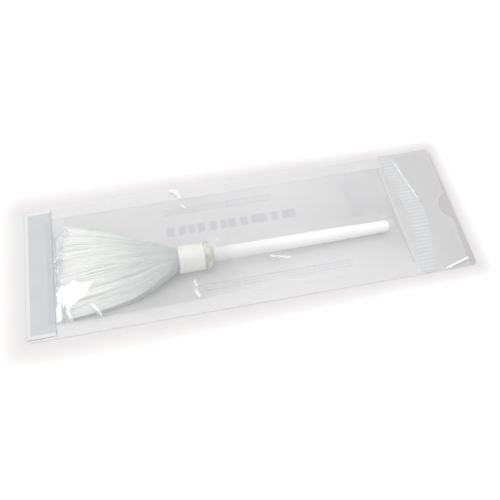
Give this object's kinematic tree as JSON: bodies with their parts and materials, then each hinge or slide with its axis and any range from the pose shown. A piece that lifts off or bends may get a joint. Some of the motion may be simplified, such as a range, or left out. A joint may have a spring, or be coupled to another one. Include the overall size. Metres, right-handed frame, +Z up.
{
  "type": "sterile-packed powder brush",
  "caption": "Glass-fibre powder brush with a plastic handle, sealed in a clear-film and paper self-seal peel pouch with a chevron seal and thumb notch.",
  "frame": {"origin": "middle of the pouch's footprint, on the surface it lies on", "axes": "+X along the pouch from the closure flap towards the peel end, +Y across the pouch, +Z up out of the film side"},
  "size_m": [0.26, 0.09, 0.0182],
  "materials": {
    "paper": "matte",
    "flap_paper": "matte",
    "heat_seal": "satin",
    "adhesive": "satin",
    "film": "gloss",
    "handle_plastic": "satin",
    "collar_plastic": "satin",
    "glue": "gloss",
    "thread": "matte",
    "glass_fibre": "satin"
  },
  "bodies": {
    "pouch": {"paper_web": "paper", "side_seal_near": "heat_seal", "side_seal_far": "heat_seal", "end_seal_line": "heat_seal", "chevron_seal": "heat_seal", "film_mouth": "film"},
    "flap": {"closure_flap": "flap_paper", "adhesive_strip": "adhesive"},
    "film": {"film_lid": "film"},
    "film_end": {"film_end": "film"},
    "thumb_tab": {"film_tab": "film"},
    "brush": {"handle": "handle_plastic", "collar": "collar_plastic", "glue_bead": "glue", "root_binding": "thread", "roving_low_1": "glass_fibre", "roving_low_2": "glass_fibre", "roving_low_3": "glass_fibre", "roving_low_4": "glass_fibre", "roving_low_5": "glass_fibre", "roving_low_6": "glass_fibre", "roving_low_7": "glass_fibre", "roving_middle_1": "glass_fibre", "roving_middle_2": "glass_fibre", "roving_middle_3": "glass_fibre", "roving_middle_4": "glass_fibre", "roving_middle_5": "glass_fibre", "roving_middle_6": "glass_fibre", "roving_middle_7": "glass_fibre", "roving_top_1": "glass_fibre", "roving_top_2": "glass_fibre", "roving_top_3": "glass_fibre", "roving_top_4": "glass_fibre", "roving_top_5": "glass_fibre", "roving_top_6": "glass_fibre", "roving_top_7": "glass_fibre"}
  },
  "joints": [
    {"name": "flap_fold", "type": "hinge", "parent": "pouch", "child": "flap", "pos_m": [-0.12987, 0, 0.00065], "axis": [0, -1, 0], "range_deg": [0, 175]},
    {"name": "film_peel", "type": "hinge", "parent": "pouch", "child": "film", "pos_m": [-0.11315, 0, 0.00065], "axis": [0, -1, 0], "range_deg": [0, 90]},
    {"name": "end_peel", "type": "hinge", "parent": "film", "child": "film_end", "pos_m": [0.09355, 0, 0.00065], "axis": [0, -1, 0], "range_deg": [0, 100]},
    {"name": "tab_lift", "type": "hinge", "parent": "film_end", "child": "thumb_tab", "pos_m": [0.11365, 0, 0.00065], "axis": [0, -1, 0], "range_deg": [0, 90]},
    {"name": "brush_slide", "type": "slide", "parent": "pouch", "child": "brush", "axis": [1, 0, 0], "range_m": [-0.001, 0.002]}
  ]
}
